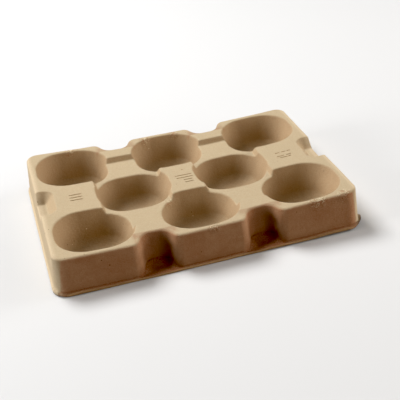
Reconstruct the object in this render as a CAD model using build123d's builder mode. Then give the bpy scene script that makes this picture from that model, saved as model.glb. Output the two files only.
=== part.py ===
"""Moulded pulp tray for eight round fruits, in rows of three, two and three.

Sizes are in millimetres and degrees. The origin is the middle of the base, with +X
along the length, +Y to the back and +Z up. The tray is one sheet of pulp of even
thickness: its upper face is drawn first, and the underside is the same form drawn
in by one wall.
"""

import os
from math import atan2, degrees, radians, sqrt, tan

from build123d import *

# Cups, measured at their rims, and the gaps that set one from the next
CUP_LENGTH = 92
CUP_WIDTH = 87
CUP_END_FLAT = 13
CUP_DRAFT = 17
CUP_FLOOR_RADIUS = 19
CUP_GAP = 33
CUP_WEB = 3.1

# Body around the cups
HEIGHT = 50
WALL = 2.5
SIDE_RIM = 6.5
END_RIM = 8
WALL_DRAFT = 4.5
CORNER_RADIUS = 14
LIP = 2

# Flutes, the upright channels in the long walls between an end cup and the middle one
FLUTE_DEPTH = 20
FLUTE_MOUTH = 46
FLUTE_FLOOR = 26
FLUTE_FLOOR_RADIUS = 14
FLUTE_MOUTH_RADIUS = 10

# Sunk deck between the cups, which leaves pads at full height around and inside it
DECK_DROP = 8
DECK_SLOPE = 25
DECK_CORNER_RADIUS = 6
EDGE_PAD_WIDTH = 21
END_PAD_BITE = 1.5
CENTRE_PAD_LENGTH = 42

# Finger scoops in the end walls
SCOOP_WIDTH = 56
SCOOP_REACH = 21
SCOOP_DEPTH = 14
SCOOP_SLOPE = 38
SCOOP_CORNER_RADIUS = 13
SCOOP_FLOOR_RADIUS = 4

# Rounded edges
RIM_RADIUS = 3.5
CUP_RIM_RADIUS = 2.5
STEP_RADIUS = 2.5
SCOOP_RIM_RADIUS = 2.5

column_pitch = CUP_LENGTH + CUP_GAP

# Rows nest until only the web is left between the round corners of cups in two rows
cup_corner_radius = (CUP_WIDTH - CUP_END_FLAT) / 2
corner_shift = column_pitch / 2 - (CUP_LENGTH - 2 * cup_corner_radius)
row_pitch = CUP_END_FLAT + sqrt((2 * cup_corner_radius + CUP_WEB) ** 2 - corner_shift**2)

top_length = 2 * column_pitch + CUP_LENGTH + 2 * END_RIM
top_width = 2 * row_pitch + CUP_WIDTH + 2 * SIDE_RIM
foot_flare = HEIGHT * tan(radians(WALL_DRAFT))
flange_length = top_length + 2 * (foot_flare + LIP)
flange_width = top_width + 2 * (foot_flare + LIP)
cup_depth = HEIGHT - WALL
cup_floor_radius = min(CUP_FLOOR_RADIUS, cup_corner_radius - cup_depth * tan(radians(CUP_DRAFT)))
deck_length = column_pitch + CUP_LENGTH - 2 * END_PAD_BITE
deck_width = top_width - 2 * (FLUTE_DEPTH + EDGE_PAD_WIDTH)

middle_columns = (-column_pitch / 2, column_pitch / 2)
cup_centres = [(x, y) for x in (-column_pitch, 0, column_pitch) for y in (-row_pitch, row_pitch)]
cup_centres += [(x, 0) for x in middle_columns]

# A flute runs past the wall by its own depth, so that its cut is open outward
with BuildSketch() as flute:
    flute_side_angle = degrees(atan2(FLUTE_DEPTH, (FLUTE_MOUTH - FLUTE_FLOOR) / 2))
    Trapezoid(2 * FLUTE_MOUTH - FLUTE_FLOOR, 2 * FLUTE_DEPTH, flute_side_angle)
    fillet(flute.vertices().group_by(Axis.Y)[-1], FLUTE_FLOOR_RADIUS)

with BuildSketch() as outline:
    RectangleRounded(top_length, top_width, CORNER_RADIUS)
    for x in middle_columns:
        with Locations(Location((x, -top_width / 2)), Location((x, top_width / 2), 180)):
            add(flute.sketch, mode=Mode.SUBTRACT)
    mouths = outline.vertices().filter_by_position(Axis.X, -column_pitch, column_pitch)
    mouths = mouths.filter_by(lambda corner: abs(corner.Y) > (top_width - FLUTE_DEPTH) / 2)
    fillet(mouths, FLUTE_MOUTH_RADIUS)


def drawn_in(inset, slope):
    """How far a sloped face moves in plan, at the top, when it and the top move by inset."""
    return inset * tan(radians(45 - slope / 2))


def tray_block(inset):
    """The tray as a solid block, with its walls and upper face drawn in by inset.

    Only the outer form, whose inset is nothing, has rounded edges.
    """
    top = HEIGHT - inset
    step = drawn_in(inset, DECK_SLOPE)
    scoop_side = drawn_in(inset, SCOOP_SLOPE)
    cup_side = drawn_in(inset, CUP_DRAFT)

    with BuildPart() as cup:
        with BuildSketch(Plane.XY.offset(top)):
            RectangleRounded(
                CUP_LENGTH + 2 * cup_side, CUP_WIDTH + 2 * cup_side, cup_corner_radius + cup_side
            )
        extrude(amount=-cup_depth, taper=CUP_DRAFT)
        fillet(cup.edges().group_by(Axis.Z)[0], cup_floor_radius + inset)

    with BuildPart() as scoop:
        with BuildSketch(Plane.XY.offset(top)):
            RectangleRounded(
                2 * (SCOOP_REACH + scoop_side),
                SCOOP_WIDTH + 2 * scoop_side,
                SCOOP_CORNER_RADIUS + scoop_side,
            )
        extrude(amount=-SCOOP_DEPTH, taper=SCOOP_SLOPE)
        fillet(scoop.edges().group_by(Axis.Z)[0], SCOOP_FLOOR_RADIUS + inset)

    with BuildPart() as block:
        with BuildSketch(Plane.XY.offset(top)):
            add(outline.sketch)
            if inset:
                offset(amount=-drawn_in(inset, WALL_DRAFT))
        extrude(amount=-top, taper=-WALL_DRAFT)
        if not inset:
            fillet(block.faces().sort_by(Axis.Z)[-1].edges(), RIM_RADIUS)

        # Deck, with the pad in its middle left standing
        with BuildSketch(Plane.XY.offset(top)):
            RectangleRounded(
                deck_length + 2 * step, deck_width + 2 * step, DECK_CORNER_RADIUS + step
            )
        extrude(amount=-DECK_DROP, taper=DECK_SLOPE, mode=Mode.SUBTRACT)
        with BuildSketch(Plane.XY.offset(top)):
            RectangleRounded(CENTRE_PAD_LENGTH - 2 * step, CUP_WIDTH, DECK_CORNER_RADIUS - step)
        extrude(amount=-DECK_DROP, taper=-DECK_SLOPE)
        if not inset:
            deck = block.faces().filter_by(Plane.XY).group_by(Axis.Z)[-2]
            fillet(deck.edges(), STEP_RADIUS)
            steps = block.edges().filter_by_position(Axis.Z, top, top)
            steps = steps.filter_by_position(Axis.X, -deck_length / 2, deck_length / 2)
            steps = steps.filter_by_position(Axis.Y, -deck_width / 2, deck_width / 2)
            fillet(steps, STEP_RADIUS)

        with Locations((-top_length / 2, 0), (top_length / 2, 0)):
            add(scoop.part, mode=Mode.SUBTRACT)
        if not inset:
            fillet(block.edges(Select.NEW), SCOOP_RIM_RADIUS)

        with Locations(cup_centres):
            add(cup.part, mode=Mode.SUBTRACT)
        if not inset:
            fillet(block.edges(Select.NEW), CUP_RIM_RADIUS)

    return block


with BuildPart() as pulp_tray:
    add(tray_block(0).part)

    # Flange around the foot, which also floors the flutes
    with BuildSketch():
        RectangleRounded(flange_length, flange_width, CORNER_RADIUS + foot_flare + LIP)
    extrude(amount=WALL)

    add(tray_block(WALL).part, mode=Mode.SUBTRACT)

pulp_tray.part.label = "pulp_tray"
os.makedirs("parts", exist_ok=True)
export_step(pulp_tray.part, "parts/pulp_tray.step")
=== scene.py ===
"""Looks of a moulded pulp fruit tray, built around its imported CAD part.

The frame's tray is flat and true. The tray in the photo has dried a little bowed and
twisted, so the shown mesh is the CAD surface cut finer, rounded where the pulp has filled
its corners, bent by one formula and covered in pulp. Lengths are in metres, in the frame
of the CAD part. "Flat" places are those of the CAD part, before the bow.
"""

import math

import bmesh
import bpy
from mathutils import Matrix, Vector, noise
from mathutils.geometry import intersect_point_line


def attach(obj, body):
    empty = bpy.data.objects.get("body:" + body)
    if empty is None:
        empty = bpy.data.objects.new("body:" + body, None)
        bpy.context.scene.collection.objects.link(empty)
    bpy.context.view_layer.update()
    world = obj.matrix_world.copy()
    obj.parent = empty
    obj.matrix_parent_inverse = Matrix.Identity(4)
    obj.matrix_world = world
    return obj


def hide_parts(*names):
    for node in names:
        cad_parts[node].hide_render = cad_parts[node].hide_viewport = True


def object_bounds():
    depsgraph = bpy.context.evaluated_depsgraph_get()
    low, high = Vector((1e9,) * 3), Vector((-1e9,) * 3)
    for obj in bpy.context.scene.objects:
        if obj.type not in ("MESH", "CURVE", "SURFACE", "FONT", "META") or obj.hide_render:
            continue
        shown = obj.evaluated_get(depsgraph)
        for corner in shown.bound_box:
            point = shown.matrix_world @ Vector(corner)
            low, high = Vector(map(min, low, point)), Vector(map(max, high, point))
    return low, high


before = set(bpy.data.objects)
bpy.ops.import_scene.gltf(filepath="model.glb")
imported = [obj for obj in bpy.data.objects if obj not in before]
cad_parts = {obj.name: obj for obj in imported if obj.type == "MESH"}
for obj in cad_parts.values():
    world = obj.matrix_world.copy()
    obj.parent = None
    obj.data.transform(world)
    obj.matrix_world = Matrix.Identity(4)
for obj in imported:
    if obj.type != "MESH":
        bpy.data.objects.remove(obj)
BOX_LOW, BOX_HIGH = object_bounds()
HALF_LENGTH, HALF_WIDTH, HEIGHT = BOX_HIGH

# Camera, as fitted to the photo, with its angles in degrees
PHOTO_PIXELS = 400
SENSOR_MM = 36
FOCAL_PIXELS = 857.3
CAMERA_AZIMUTH = -13.6
CAMERA_ELEVATION = 31.1
CAMERA_ROLL = -5.3
CAMERA_DISTANCE = 1.095
CAMERA_TARGET = (0.0219, 0.0081, 0)

# Bow and twist of the dried tray, in metres of rise per square metre of plan, of which the
# foot takes only a share
SHRUNK_HEIGHT = 0.044
BOW_ALONG = 0.145
BOW_ACROSS = 0.047
TWIST = -0.089
FOOT_SHARE = 0.4

# Small unevenness of the sheet, and of its foot, which fades towards the top
WAVE_SIZE = 0.045
WAVE_HEIGHT = 0.00035
LIP_WAVE_SIZE = 0.022
LIP_WAVE_HEIGHT = 0.0009
LIP_WAVE_LAYER = 7
LIP_WAVE_FADE = 3

# Fineness of the mesh: the grid over the plan, the heights where walls are cut, and the
# angle in degrees above which an edge stays sharp
MESH_STEP = 0.0135
WALL_CUTS = (0.0135, 0.022)
SHARP_ANGLE = 40
SAME_POINT = 1e-6

# Pinches where cup rims meet the steps of the deck, which the pulp rounds over, at flat
# places in one quarter of the tray
PINCHES = ((0.079, 0.085), (0.046, 0.085), (0.107, 0.034), (0.021, 0.034))
PINCH_REACH = 0.006
PINCH_LOW = 0.038
PINCH_PASSES = 5
PINCH_FACTOR = 0.5

# Flange around the foot, all of it below FLANGE_TOP, with what counts as its level upper
# side, and the corner where it has curled up
FLANGE_WIDTH = 0.0025
FLANGE_HEIGHT = 0.0025
FLANGE_TOP = 0.0027
FLANGE_CORNER = 0.02
LEVEL_NORMAL = 0.9
LEVEL_WITHIN = 1e-5
CURL_PLACE = (0.183, -0.121)
CURL_HEIGHT = 0.001
CURL_REACH = 0.016
CURL_RISE = 0.0045
CURL_SPREAD = 0.0012

# End walls, long walls and the flutes in these, at flat places
END_WALL = 0.1775
WALL_TOP = 0.126
LIP_PLACE = 0.1306
FLUTE_PLACE = 0.0625
FLUTE_HALF_MOUTH = 0.024
FLUTE_BACK = 0.106

# Coves where the walls run out into the flange: wide in the flutes, where they are full up
# to one flat place and gone at another, and elsewhere a small rise at the foot of the wall
COVE_RADIUS = 0.009
COVE_FULL = 0.119
COVE_END = 0.1285
COVE_STEP = 0.002
COVE_CUT_MARGIN = 0.006
COVE_MARGIN = 0.01
FOOT_RISE = 0.0013

# Moulded marks: bars as middle and length, and round studs as middle and radius
BARS = (
    (-0.133, 0.0065, 0.015),
    (-0.133, 0.0005, 0.015),
    (-0.133, -0.0055, 0.015),
    (0.0025, 0.0035, 0.021),
    (0.0025, -0.0025, 0.021),
    (0.0055, -0.0085, 0.011),
    (0.0055, -0.0145, 0.011),
    (0.127, 0.004, 0.006),
    (0.135, 0.004, 0.005),
    (0.142, 0.004, 0.004),
    (0.128, -0.005, 0.009),
    (0.139, -0.005, 0.007),
    (0.133, -0.0095, 0.014),
)
STUDS = ((0.005, 0.018, 0.0013),)
MARK_WIDTH = 0.0012
MARK_HEIGHT = 0.0008
MARK_SINK = 0.0004
MARK_TURNS = 8

# A mark's rings from its foot up, as share of its width and height over the tray
MARK_RINGS = (
    (1.0, -MARK_SINK),
    (1.0, MARK_HEIGHT * 0.4),
    (0.82, MARK_HEIGHT * 0.85),
    (0.45, MARK_HEIGHT),
)

# Colours
PULP_LEVEL = (0.46, 0.37, 0.24, 1)
# Paler end walls: painted light
PULP_END_LIT = (0.57, 0.46, 0.31, 1)
# Darker, warmer steep faces and redder long walls: painted shade
PULP_STEEP_SHADED = (0.405, 0.285, 0.17, 1)
PULP_WALL_SHADED = (0.44, 0.245, 0.14, 1)
PULP_RED = (0.36, 0.165, 0.085, 1)
# Dark brown of the painted shade in flutes and creases, which also darkens the foot of the long
# walls
PULP_SHADE_AND_FOOT = (0.20, 0.065, 0.025, 1)
# Dark specks, also the painted shade on the curled corner
SPECK_AND_CURL_SHADE_COLOUR = (0.09, 0.045, 0.02, 1)
FLAKE_COLOUR = (0.80, 0.68, 0.46, 1)
# Pale flange edge: a painted highlight
LIP_HIGHLIGHT_COLOUR = (0.66, 0.47, 0.25, 1)
WHITE = (1, 1, 1, 1)

# Stretches over which a colour sets in, from where there is none to where it is full: by
# distance from a flute's middle, by flat place across or along the tray, and by height.
# Several place painted shade: in the flutes and on their floors, low in the tray, along the
# crease at the foot of the walls and on the curled corner. One places painted light on the
# end walls, and two a painted highlight on the flange's outer edge.
FLUTE_SIDE = (FLUTE_HALF_MOUTH + 0.003, FLUTE_HALF_MOUTH - 0.001)
FLUTE_HEAD = (FLUTE_BACK - 0.003, FLUTE_BACK - 0.001)
FLUTE_SHADE = (FLUTE_BACK + 0.015, FLUTE_BACK + 0.002)
WALL_EDGE = (WALL_TOP - 0.0015, WALL_TOP - 0.0005)
LIP_HIGHLIGHT_EDGE = (LIP_PLACE, LIP_PLACE + 0.001)
END_LIT_EDGE = (END_WALL - 0.006, END_WALL)
DEEP_SHADE = (0.034, 0.012)
DEEP_SHADE_SHARE = 0.75
FLUTE_FLOOR_SHADE = (0.022, 0.0026)
FOOT = (0.016, 0.0)
CREASE_SHADE_FROM_ABOVE = (0.0055, 0.003)
CREASE_SHADE_FROM_BELOW = (0.0022, 0.0028)
LIP_HIGHLIGHT_FROM_ABOVE = (0.0028, 0.0026)
CURL_SHADE_FROM_ABOVE = (FLANGE_TOP, FLANGE_TOP - 0.0004)

# Fine specks all over, by their cells to the metre, and single specks and flakes at flat
# places, with their radii
SPECK_SCALE = 130
SPECKS = (
    (-0.119, -0.1276, 0.0296, 0.0010),
    (-0.127, -0.1269, 0.0386, 0.0009),
    (-0.144, -0.1235, 0.0499, 0.0008),
    (-0.174, -0.0604, 0.0500, 0.0008),
    (-0.156, -0.0533, 0.0181, 0.0009),
    (-0.002, -0.0418, 0.0196, 0.0008),
    (-0.179, -0.0638, 0.0481, 0.0009),
    (-0.178, 0.0204, 0.0401, 0.0009),
    (-0.173, 0.0120, 0.0370, 0.0007),
    (0.101, -0.1270, 0.0420, 0.0009),
    (-0.015, -0.1280, 0.0190, 0.0009),
)
FLAKES = (
    (-0.130, -0.0396, 0.0265, 0.0010),
    (-0.150, -0.0491, 0.0140, 0.0007),
    (-0.001, -0.0435, 0.0143, 0.0009),
    (-0.017, 0.1138, 0.0350, 0.0009),
    (-0.001, -0.1243, 0.0496, 0.0012),
    (0.005, -0.1248, 0.0494, 0.0010),
)

# Torn, wrinkled patches of rim and wall at flat places, with their reach
WRINKLES = (
    (-0.021, 0.1190, 0.0480, 0.011),
    (0.020, 0.1190, 0.0480, 0.009),
    (-0.123, 0.1220, 0.0500, 0.012),
    (-0.028, -0.0430, 0.0450, 0.012),
    (0.004, -0.1250, 0.0500, 0.011),
    (0.128, -0.1240, 0.0500, 0.016),
    (0.160, -0.1240, 0.0480, 0.012),
)

# Relief of the pulp's surface, and its gloss
BUMP_STRENGTH = 0.75
BUMP_DISTANCE = 0.0016
PULP_ROUGHNESS = 0.86
FIBRE_ROUGHNESS = 0.1
PULP_SPECULAR = 0.2

# Floor, with the distances from the tray between which it fades to the sky's paleness
FLOOR_SIZE = 12
FLOOR_SEEN = 0.68
FLOOR_BOUNCE = 0.22
FLOOR_FADE = (1.0, 3.0)
FLOOR_ROUGHNESS = 0.9

# Lamps: name, direction from the tray, diameter, watts and colour
LIGHTS = (
    ("key", (-0.38, 0.58, 1.0), 1.3, 75, (1, 1, 1)),
    ("top", (0.05, -0.35, 1.0), 1.5, 6, (1, 1, 1)),
    ("right", (1.0, -0.05, 0.34), 1.6, 44, (1.0, 0.98, 0.95)),
    ("left", (-1.0, 0.0, 0.28), 1.2, 40, (1.0, 0.985, 0.96)),
    ("front", (0.9, -0.9, 0.28), 1.6, 20, (1.0, 0.87, 0.76)),
)
LAMP_DISTANCE = 2.6
SKY_STRENGTH = 0.03
BACKDROP_SEEN = 0.8

# What the picture shows as black, in light that leaves the camera
PICTURE_BLACK = 0.022


def smooth(t):
    t = min(max(t, 0), 1)
    return t * t * (3 - 2 * t)


def grey(tone):
    return (tone, tone, tone, 1)


# Tray


def flange_share(point):
    """0 at the foot of the wall and above the flange, 1 at the flange's outer edge."""
    x, y, z = point
    if z > FLANGE_TOP:
        return 0
    out = max(abs(x) - (HALF_LENGTH - FLANGE_WIDTH), abs(y) - (HALF_WIDTH - FLANGE_WIDTH))
    dx = abs(x) - (HALF_LENGTH - FLANGE_CORNER)
    dy = abs(y) - (HALF_WIDTH - FLANGE_CORNER)
    if dx > 0 and dy > 0:
        out = math.hypot(dx, dy) - (FLANGE_CORNER - FLANGE_WIDTH)
    return smooth(out / FLANGE_WIDTH)


def bowed(point):
    """Where a point of the flat CAD tray lies on the bowed one."""
    x, y, z = point
    up = z / HEIGHT
    share = FOOT_SHARE + (1 - FOOT_SHARE) * up
    rise = BOW_ALONG * x * x + BOW_ACROSS * y * y + TWIST * x * y
    wave = WAVE_HEIGHT * noise.noise(Vector(point) / WAVE_SIZE)
    lip = LIP_WAVE_HEIGHT * noise.noise(Vector((x, y, LIP_WAVE_LAYER)) / LIP_WAVE_SIZE)
    lip *= (1 - up) ** LIP_WAVE_FADE
    curl = flange_share(point) * smooth(1 - math.dist((x, y), CURL_PLACE) / CURL_REACH)
    lift = SHRUNK_HEIGHT * up + rise * share + wave + lip + CURL_RISE * curl
    return Vector((x + wave + CURL_SPREAD * curl, y + wave, max(lift, 0)))


def keep_flat_places(mesh, places):
    """Stores each point's flat place, which the material reads."""
    stored = mesh.attributes.new("flat_place", "FLOAT_VECTOR", "POINT")
    stored.data.foreach_set("vector", [number for place in places for number in place])


def cut(shape, parts, axis, place):
    """Cuts parts of the shape by the plane on which one coordinate is place."""
    normal = Vector([float(i == axis) for i in range(3)])
    bmesh.ops.bisect_plane(
        shape, geom=parts, dist=SAME_POINT, plane_co=normal * place, plane_no=normal
    )


def cut_through(shape, axis, place):
    cut(shape, shape.verts[:] + shape.edges[:] + shape.faces[:], axis, place)


def cut_grid(shape):
    """Cuts the whole shape into strips along and across, and its walls in height."""
    for axis in (0, 1):
        low, high = BOX_LOW[axis], BOX_HIGH[axis]
        count = int((high - low) / MESH_STEP)
        for i in range(count):
            cut_through(shape, axis, low + (i + 0.5) * (high - low) / count)
    for place in WALL_CUTS:
        cut_through(shape, 2, place)


def flange_faces(shape):
    """Faces of the flange's upper side, which also floors the flutes."""
    return [
        face
        for face in shape.faces
        if face.normal.z > LEVEL_NORMAL
        and all(abs(vert.co.z - FLANGE_HEIGHT) < LEVEL_WITHIN for vert in face.verts)
    ]


def corners(faces):
    """The faces' corners, each once, in the same order in each run."""
    return dict.fromkeys(vert for face in faces for vert in face.verts)


def in_flute(point, margin=0.0):
    """Whether a flat place is in a flute, or beside it by less than the margin."""
    x, y, _ = point
    return abs(abs(x) - FLUTE_PLACE) < FLUTE_HALF_MOUTH + margin and abs(y) > FLUTE_BACK


def cut_flute_floors(shape):
    """Cuts the flutes' floors finer than the rest, for their coves."""
    steps = int(FLUTE_HALF_MOUTH / COVE_STEP) + 1
    rows = int((COVE_END - FLUTE_BACK) / COVE_STEP)
    cuts = [(0, FLUTE_PLACE + i * COVE_STEP) for i in range(-steps, steps + 1)]
    cuts += [(1, FLUTE_BACK + i * COVE_STEP) for i in range(1, rows + 1)]
    for axis, place in cuts:
        for side in (1, -1):
            faces = [
                face
                for face in flange_faces(shape)
                if in_flute(face.calc_center_median(), COVE_CUT_MARGIN)
            ]
            edges = dict.fromkeys(edge for face in faces for edge in face.edges)
            cut(shape, [*corners(faces), *edges, *faces], axis, side * place)


def gap_to_edge(point, start, end):
    """How far a point is from a straight edge."""
    nearest, share = intersect_point_line(point, start, end)
    if 0 < share < 1:
        return (point - nearest).length
    return min((point - start).length, (point - end).length)


def ends_inside(edge, flange):
    """Whether the flange's upper side ends at an edge that is inside its straight rims.

    That is so at the foot of the walls, and also at the rim's round corners.
    """
    start, end = edge.verts
    inside = (
        abs(start.co.x + end.co.x) / 2 < HALF_LENGTH - FLANGE_WIDTH / 2
        and abs(start.co.y + end.co.y) / 2 < HALF_WIDTH - FLANGE_WIDTH / 2
    )
    return inside and any(face not in flange for face in edge.link_faces)


def cove_rises(shape):
    """How far points of the flange's upper side rise: in the flutes' coves, and a little at
    the foot of the walls and at the rim's round corners."""
    flange = dict.fromkeys(flange_faces(shape))
    inner = [edge for face in flange for edge in face.edges if ends_inside(edge, flange)]
    rises = {vert: FOOT_RISE for edge in inner for vert in edge.verts}
    flute_edges = [
        [vert.co.copy() for vert in edge.verts]
        for edge in inner
        if any(in_flute(vert.co, COVE_MARGIN) for vert in edge.verts)
    ]
    for vert in corners(flange):
        if in_flute(vert.co, COVE_MARGIN):
            gap = min(gap_to_edge(vert.co, start, end) for start, end in flute_edges)
            across = 1 - min(gap / COVE_RADIUS, 1)
            share = smooth((COVE_END - abs(vert.co.y)) / (COVE_END - COVE_FULL))
            rise = share * COVE_RADIUS * (1 - math.sqrt(1 - across * across))
            rises[vert] = max(rises.get(vert, 0), rise)
    return rises


def pinched(point):
    """Whether a flat place is in one of the pinches, in any quarter of the tray."""
    x, y, z = point
    return z > PINCH_LOW and any(
        math.dist((abs(x), abs(y)), pinch) < PINCH_REACH for pinch in PINCHES
    )


def round_pinches(shape):
    """Smooths the sheet in the pinches."""
    soft = [vert for vert in shape.verts if pinched(vert.co)]
    for _ in range(PINCH_PASSES):
        bmesh.ops.smooth_vert(
            shape,
            verts=soft,
            factor=PINCH_FACTOR,
            use_axis_x=True,
            use_axis_y=True,
            use_axis_z=True,
        )


def tray_mesh(node):
    """The CAD surface, cut finer, rounded and then bowed."""
    mesh = node.data.copy()
    mesh.transform(node.matrix_world)
    shape = bmesh.new()
    shape.from_mesh(mesh)
    bmesh.ops.remove_doubles(shape, verts=shape.verts, dist=SAME_POINT)
    cut_grid(shape)
    cut_flute_floors(shape)
    places = [vert.co.copy() for vert in shape.verts]
    for vert, rise in cove_rises(shape).items():
        vert.co.z += rise
    round_pinches(shape)
    for vert in shape.verts:
        vert.co = bowed(vert.co)
    shape.to_mesh(mesh)
    shape.free()
    keep_flat_places(mesh, places)
    mesh.shade_smooth()
    mesh.set_sharp_from_angle(angle=math.radians(SHARP_ANGLE))
    return mesh


def add_piece(name, mesh):
    piece = bpy.data.objects.new(name, mesh)
    bpy.context.scene.collection.objects.link(piece)
    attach(piece, "root")
    return piece


tray = add_piece("tray", tray_mesh(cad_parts["pulp_tray"]))
weighted = tray.modifiers.new("weighted normals", "WEIGHTED_NORMAL")
weighted.keep_sharp = True
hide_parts("pulp_tray")


# Moulded marks


def mark_outline(length, width):
    """Half circles joined by straight sides, around the middle of a bar."""
    radius = width / 2
    run = max(length / 2 - radius, 0)
    points = []
    for side, start in ((1, -math.pi / 2), (-1, math.pi / 2)):
        for i in range(MARK_TURNS + 1):
            angle = start + math.pi * i / MARK_TURNS
            points.append((side * run + radius * math.cos(angle), radius * math.sin(angle)))
    return points


def add_mark(shape, places, x, y, length, width):
    """A low rounded bar on top of the tray, set a little into it."""
    rings = []
    for share, rise in MARK_RINGS:
        ring = []
        for along, across in mark_outline(length - (1 - share) * width, width * share):
            flat = Vector((x + along, y + across, HEIGHT + rise))
            ring.append(shape.verts.new(bowed(flat)))
            places.append(flat)
        rings.append(ring)
    for lower, upper in zip(rings, rings[1:]):
        for i in range(len(lower)):
            k = (i + 1) % len(lower)
            shape.faces.new((lower[i], lower[k], upper[k], upper[i]))
    shape.faces.new(rings[-1])
    shape.faces.new(rings[0][::-1])


def marks_mesh():
    shape = bmesh.new()
    places = []
    for x, y, length in BARS:
        add_mark(shape, places, x, y, length, MARK_WIDTH)
    for x, y, radius in STUDS:
        add_mark(shape, places, x, y, 2 * radius, 2 * radius)
    mesh = bpy.data.meshes.new("marks")
    shape.to_mesh(mesh)
    shape.free()
    keep_flat_places(mesh, places)
    mesh.shade_smooth()
    return mesh


marks = add_piece("marks", marks_mesh())


# Pulp


class Tree:
    """Short ways to add nodes to one material or world."""

    # The Mix node's sockets for colours, whose names its other sockets have too
    MIX_FACTOR = 0
    MIX_COLOURS = (6, 7)
    MIX_RESULT = 2

    def __init__(self, owner):
        self.nodes = owner.node_tree.nodes
        self.links = owner.node_tree.links

    def node(self, kind, **settings):
        new = self.nodes.new(kind)
        for name, value in settings.items():
            setattr(new, name, value)
        return new

    def put(self, value, socket):
        """Links another socket to this one, or sets it to a constant."""
        if isinstance(value, bpy.types.NodeSocket):
            self.links.new(value, socket)
        else:
            socket.default_value = value

    def parts(self, vector):
        """The three coordinates of a vector."""
        new = self.node("ShaderNodeSeparateXYZ")
        self.put(vector, new.inputs[0])
        return new.outputs

    def noise(self, place, scale, detail=2.0, roughness=0.5, distortion=0.0):
        new = self.node("ShaderNodeTexNoise")
        settings = {
            "Vector": place,
            "Scale": scale,
            "Detail": detail,
            "Roughness": roughness,
            "Distortion": distortion,
        }
        for name, value in settings.items():
            self.put(value, new.inputs[name])
        return new.outputs["Fac"]

    def ramp(self, source, start, end, smoothly=False):
        """0 where source is at start or before, 1 at end or beyond."""
        new = self.node("ShaderNodeMapRange")
        if smoothly:
            new.interpolation_type = "SMOOTHSTEP"
        self.put(source, new.inputs["Value"])
        self.put(start, new.inputs["From Min"])
        self.put(end, new.inputs["From Max"])
        return new.outputs["Result"]

    def patches(self, place, start, end, **settings):
        """A noise, turned into patches by a ramp from start to end."""
        return self.ramp(self.noise(place, **settings), start, end)

    def maths(self, operation, *values):
        new = self.node("ShaderNodeMath", operation=operation)
        for value, socket in zip(values, new.inputs):
            self.put(value, socket)
        return new.outputs[0]

    def times(self, a, b):
        return self.maths("MULTIPLY", a, b)

    def mixed(self, factor, *colours):
        new = self.node("ShaderNodeMix", data_type="RGBA")
        self.put(factor, new.inputs[self.MIX_FACTOR])
        for colour, i in zip(colours, self.MIX_COLOURS):
            self.put(colour, new.inputs[i])
        return new.outputs[self.MIX_RESULT]

    def stained(self, colour, stain, mask, share):
        """The colour, turned by up to this share to the stain where the mask is 1."""
        return self.mixed(self.times(mask, share), colour, stain)

    def near(self, place, point, inner, outer):
        """1 within inner of point, and 0 beyond outer."""
        new = self.node("ShaderNodeVectorMath", operation="DISTANCE")
        self.put(place, new.inputs[0])
        self.put(point, new.inputs[1])
        return self.ramp(new.outputs["Value"], outer, inner, smoothly=True)

    def spots(self, place, spots, core):
        """1 in the core of each spot, a share of its reach, and 0 beyond the reach."""
        result = 0.0
        for x, y, z, reach in spots:
            spot = self.near(place, (x, y, z), reach * core, reach)
            result = self.maths("MAXIMUM", result, spot)
        return result


class Regions:
    """What the colours go by: flat places, slope, and the long walls and their flutes."""

    def __init__(self, tree):
        self.place = tree.node("ShaderNodeAttribute", attribute_name="flat_place").outputs["Vector"]
        x, y, self.height = tree.parts(self.place)
        self.along = tree.maths("ABSOLUTE", x)
        self.across = tree.maths("ABSOLUTE", y)
        self.level = tree.parts(tree.node("ShaderNodeNewGeometry").outputs["Normal"])[2]
        from_flute = tree.maths("ABSOLUTE", tree.maths("SUBTRACT", self.along, FLUTE_PLACE))
        head = tree.ramp(self.across, *FLUTE_HEAD)
        self.flute = tree.times(tree.ramp(from_flute, *FLUTE_SIDE), head)
        self.outer = tree.maths("MAXIMUM", tree.ramp(self.across, *WALL_EDGE), self.flute)


def region_colour(tree, at):
    """Painted shade: steep faces, and faces low in the tray, are a darker, warmer brown than
    level ones on top, and the long walls are redder still. Painted light: the end walls are
    paler. The long walls are also redder in clouds, and their flutes get darker painted shade."""
    # Painted shade: low in the tray and on steep faces the pulp is darker and warmer, on the long
    # walls redder
    deep_shade = tree.times(tree.ramp(at.height, *DEEP_SHADE, smoothly=True), DEEP_SHADE_SHARE)
    steep_shade = tree.maths("MAXIMUM", tree.ramp(at.level, 0.97, 0.30), deep_shade)
    colour = tree.mixed(steep_shade, PULP_LEVEL, tree.mixed(at.outer, PULP_STEEP_SHADED, PULP_WALL_SHADED))
    # Painted light: the end walls are paler
    colour = tree.mixed(tree.ramp(at.along, *END_LIT_EDGE, smoothly=True), colour, PULP_END_LIT)

    clouds = tree.patches(at.place, 0.42, 0.68, scale=34, detail=4, roughness=0.55)
    clouds = tree.times(clouds, tree.times(tree.ramp(at.level, 0.45, 0.1), at.outer))
    colour = tree.stained(colour, PULP_RED, clouds, share=0.6)
    blotches = tree.patches(
        at.place, 0.45, 0.66, scale=150, detail=4, roughness=0.6, distortion=0.4
    )
    colour = tree.stained(colour, PULP_RED, tree.times(blotches, at.outer), share=0.38)

    # Painted shade in the flutes, towards their back and most on their floors
    shade = tree.times(at.flute, tree.ramp(at.across, *FLUTE_SHADE, smoothly=True))
    colour = tree.stained(colour, PULP_SHADE_AND_FOOT, shade, share=0.3)
    flute_floor_shade = tree.times(at.flute, tree.ramp(at.height, *FLUTE_FLOOR_SHADE, smoothly=True))
    return tree.stained(colour, PULP_SHADE_AND_FOOT, flute_floor_shade, share=0.6)


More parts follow.
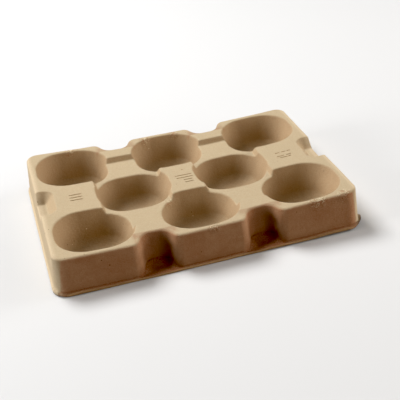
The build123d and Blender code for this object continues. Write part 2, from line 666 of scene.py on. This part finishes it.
def foot_colour(tree, at, colour):
    """The long walls and the flange darken towards their foot. Painted shade runs along the
    crease where the walls meet the flange, a pale painted highlight along the flange's outer
    edge, and dark painted shade over its curled corner."""
    foot = tree.times(tree.ramp(at.height, *FOOT, smoothly=True), at.outer)
    colour = tree.stained(colour, PULP_SHADE_AND_FOOT, foot, share=0.35)
    # Painted shade along the crease where the walls meet the flange
    above = tree.ramp(at.height, *CREASE_SHADE_FROM_ABOVE)
    crease_shade = tree.times(tree.times(above, tree.ramp(at.height, *CREASE_SHADE_FROM_BELOW)), at.outer)
    colour = tree.stained(colour, PULP_SHADE_AND_FOOT, crease_shade, share=0.7)
    # Painted highlight along the flange's outer edge
    lip = tree.times(tree.ramp(at.height, *LIP_HIGHLIGHT_FROM_ABOVE), tree.ramp(at.across, *LIP_HIGHLIGHT_EDGE))
    colour = tree.stained(colour, LIP_HIGHLIGHT_COLOUR, lip, share=0.45)
    # Painted shade on the curled corner
    curl = tree.spots(at.place, [(*CURL_PLACE, CURL_HEIGHT, CURL_REACH)], core=0.5)
    curl = tree.times(curl, tree.ramp(at.height, *CURL_SHADE_FROM_ABOVE))
    return tree.stained(colour, SPECK_AND_CURL_SHADE_COLOUR, curl, share=0.95)


def specked_colour(tree, place, colour):
    """Fine dark specks all over, and single specks and pale flakes."""
    cells = tree.node("ShaderNodeTexVoronoi", feature="F1")
    tree.put(place, cells.inputs["Vector"])
    tree.put(SPECK_SCALE, cells.inputs["Scale"])
    middles = tree.ramp(cells.outputs["Distance"], 0.12, 0.05)
    chosen = tree.ramp(cells.outputs["Color"], 0.74, 0.78)
    colour = tree.stained(colour, SPECK_AND_CURL_SHADE_COLOUR, tree.times(middles, chosen), share=0.45)
    colour = tree.stained(colour, SPECK_AND_CURL_SHADE_COLOUR, tree.spots(place, SPECKS, core=0.5), share=0.8)
    return tree.stained(colour, FLAKE_COLOUR, tree.spots(place, FLAKES, core=0.5), share=0.8)


def wrinkled_colour(tree, colour, patch, torn):
    """Pale raised fibres between dark furrows, in the torn patches."""
    furrow = tree.times(patch, tree.ramp(torn, 0.47, 0.38))
    colour = tree.stained(colour, PULP_RED, furrow, share=0.75)
    ridge = tree.times(patch, tree.ramp(torn, 0.56, 0.64))
    return tree.stained(colour, FLAKE_COLOUR, ridge, share=0.65)


def pulp_relief(tree, place, wrinkles):
    """Normals bumped by swells, fibres, grain and wrinkles, each by its share."""
    layers = (
        (tree.noise(place, scale=55, detail=3), 0.55),
        (tree.noise(place, scale=330, detail=4, roughness=0.6, distortion=0.5), 0.30),
        (tree.noise(place, scale=1300, detail=2, roughness=0.6), 0.10),
        (wrinkles, 1.6),
    )
    relief = 0.0
    for layer, share in layers:
        relief = tree.maths("ADD", relief, tree.times(layer, share))
    bump = tree.node("ShaderNodeBump")
    tree.put(BUMP_STRENGTH, bump.inputs["Strength"])
    tree.put(BUMP_DISTANCE, bump.inputs["Distance"])
    tree.put(relief, bump.inputs["Height"])
    return bump.outputs["Normal"]


def pulp_material():
    material = bpy.data.materials.new("pulp")
    material.use_nodes = True
    tree = Tree(material)
    tree.nodes.clear()
    at = Regions(tree)
    colour = foot_colour(tree, at, region_colour(tree, at))

    # Fibres and fine grain
    fibres = tree.patches(
        at.place, 0.35, 0.72, scale=420, detail=4, roughness=0.65, distortion=0.6
    )
    colour = tree.stained(colour, PULP_RED, fibres, share=0.2)
    grain = tree.patches(at.place, 0.40, 0.72, scale=1100, detail=2, roughness=0.6)
    colour = tree.stained(colour, FLAKE_COLOUR, grain, share=0.14)

    colour = specked_colour(tree, at.place, colour)
    patch = tree.spots(at.place, WRINKLES, core=0.3)
    torn = tree.noise(at.place, scale=260, detail=3, roughness=0.6, distortion=1.5)
    colour = wrinkled_colour(tree, colour, patch, torn)

    shader = tree.node("ShaderNodeBsdfPrincipled")
    roughness = tree.maths("ADD", PULP_ROUGHNESS, tree.times(fibres, FIBRE_ROUGHNESS))
    tree.put(roughness, shader.inputs["Roughness"])
    tree.put(PULP_SPECULAR, shader.inputs["Specular IOR Level"])
    tree.put(colour, shader.inputs["Base Color"])
    normal = pulp_relief(tree, at.place, tree.times(patch, torn))
    tree.put(normal, shader.inputs["Normal"])
    output = tree.node("ShaderNodeOutputMaterial")
    tree.put(shader.outputs[0], output.inputs["Surface"])
    return material


pulp = pulp_material()
for piece in (tray, marks):
    piece.data.materials.clear()
    piece.data.materials.append(pulp)


# Floor and light


def floor_material():
    """Pale paper that throws less light back at the tray than the camera sees on it."""
    material = bpy.data.materials.new("floor")
    material.use_nodes = True
    tree = Tree(material)
    shader = tree.nodes["Principled BSDF"]
    tree.put(FLOOR_ROUGHNESS, shader.inputs["Roughness"])
    tree.put(0.0, shader.inputs["Specular IOR Level"])
    seen = tree.node("ShaderNodeLightPath").outputs["Is Camera Ray"]
    tone = tree.mixed(seen, grey(FLOOR_BOUNCE), grey(FLOOR_SEEN))
    tree.put(tone, shader.inputs["Base Color"])

    # Far out, where the lamps don't reach, it stays as pale as the sky behind it
    place = tree.node("ShaderNodeNewGeometry").outputs["Position"]
    reach = tree.node("ShaderNodeVectorMath", operation="LENGTH")
    tree.put(place, reach.inputs[0])
    far = tree.times(tree.ramp(reach.outputs["Value"], *FLOOR_FADE, smoothly=True), seen)
    tree.put(WHITE, shader.inputs["Emission Color"])
    tree.put(tree.times(far, BACKDROP_SEEN), shader.inputs["Emission Strength"])
    return material


def area_light(name, direction, size, power, colour):
    """A round lamp that faces the tray; direction runs from the tray to the lamp."""
    light = bpy.data.lights.new(name, "AREA")
    light.shape = "DISK"
    light.size = size
    light.energy = power
    light.color = colour
    lamp = bpy.data.objects.new(name, light)
    direction = Vector(direction).normalized()
    lamp.location = direction * LAMP_DISTANCE
    lamp.rotation_euler = direction.to_track_quat("Z", "Y").to_euler()
    bpy.context.scene.collection.objects.link(lamp)


def pale_sky():
    """Gives little light, but a low camera sees it as pale as the floor."""
    world = bpy.data.worlds.new("studio")
    world.use_nodes = True
    tree = Tree(world)
    backdrop = tree.nodes["Background"]
    tree.put(WHITE, backdrop.inputs["Color"])
    seen = tree.node("ShaderNodeLightPath").outputs["Is Camera Ray"]
    strength = tree.times(seen, BACKDROP_SEEN - SKY_STRENGTH)
    tree.put(tree.maths("ADD", strength, SKY_STRENGTH), backdrop.inputs["Strength"])
    return world


bpy.ops.mesh.primitive_plane_add(size=FLOOR_SIZE, location=(0, 0, 0))
floor = bpy.context.object
floor.name = "floor"
floor.data.materials.append(floor_material())
for light in LIGHTS:
    area_light(*light)
bpy.context.scene.world = pale_sky()


# Camera


def camera_axes():
    """Unit vectors to the camera's right, up its picture, and back from the tray."""
    azimuth = math.radians(CAMERA_AZIMUTH)
    elevation = math.radians(CAMERA_ELEVATION)
    roll = math.radians(CAMERA_ROLL)
    level = Vector((math.cos(azimuth), math.sin(azimuth), 0))
    outward = Vector((math.sin(azimuth), -math.cos(azimuth), 0))
    back = outward * math.cos(elevation) + Vector((0, 0, math.sin(elevation)))
    rising = back.cross(level)
    right = level * math.cos(roll) + rising * math.sin(roll)
    up = rising * math.cos(roll) - level * math.sin(roll)
    return right, up, back


def photo_camera():
    data = bpy.data.cameras.new("camera")
    data.sensor_width = SENSOR_MM
    data.lens = FOCAL_PIXELS * SENSOR_MM / PHOTO_PIXELS
    data.dof.use_dof = False
    camera = bpy.data.objects.new("camera", data)
    right, up, back = camera_axes()
    turn = Matrix((right, up, back)).transposed().to_4x4()
    camera.matrix_world = Matrix.Translation(Vector(CAMERA_TARGET) + back * CAMERA_DISTANCE) @ turn
    bpy.context.scene.collection.objects.link(camera)
    return camera


bpy.context.scene.camera = photo_camera()
bpy.context.scene.view_settings.view_transform = "Standard"
bpy.context.scene.view_settings.look = "None"

# The picture's darkest tones are drawn down to black
bpy.context.scene.use_nodes = True
picture = bpy.context.scene.node_tree
picture.nodes.clear()
layers = picture.nodes.new("CompositorNodeRLayers")
contrast = picture.nodes.new("CompositorNodeCurveRGB")
contrast.inputs["Black Level"].default_value = grey(PICTURE_BLACK)
shown = picture.nodes.new("CompositorNodeComposite")
picture.links.new(layers.outputs["Image"], contrast.inputs["Image"])
picture.links.new(contrast.outputs["Image"], shown.inputs["Image"])
